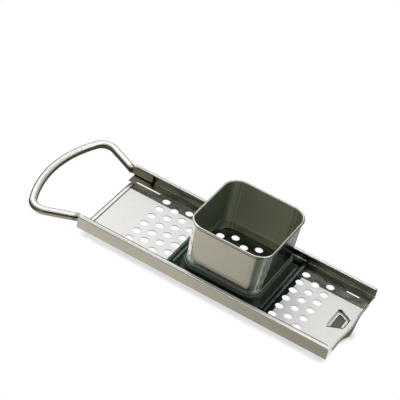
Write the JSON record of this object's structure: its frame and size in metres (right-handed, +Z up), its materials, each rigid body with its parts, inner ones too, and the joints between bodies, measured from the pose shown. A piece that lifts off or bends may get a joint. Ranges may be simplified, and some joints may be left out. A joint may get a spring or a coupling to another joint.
{
  "type": "spaetzle maker",
  "caption": "Steel trough with a field of round holes, a wire loop handle, a pot hook, and a square open hopper that slides along it under its lips.",
  "frame": {"origin": "middle of the footprint, at the height of the pot hook's tip, which is the lowest point", "axes": "+X along the tray from the wire handle to the pot hook, +Y across the tray, +Z up"},
  "size_m": [0.3356, 0.1364, 0.071],
  "materials": {
    "tray_steel": "polished",
    "wire_steel": "polished",
    "hopper_steel": "satin",
    "slide_steel": "polished"
  },
  "bodies": {
    "tray": {"tray": "tray_steel", "wire_handle": "wire_steel"},
    "slide": {"slide_plate": "slide_steel", "hopper": "hopper_steel"}
  },
  "joints": [
    {"name": "hopper_slide", "type": "slide", "parent": "tray", "child": "slide", "axis": [1, 0, 0], "range_m": [-0.0687, 0.065]}
  ]
}
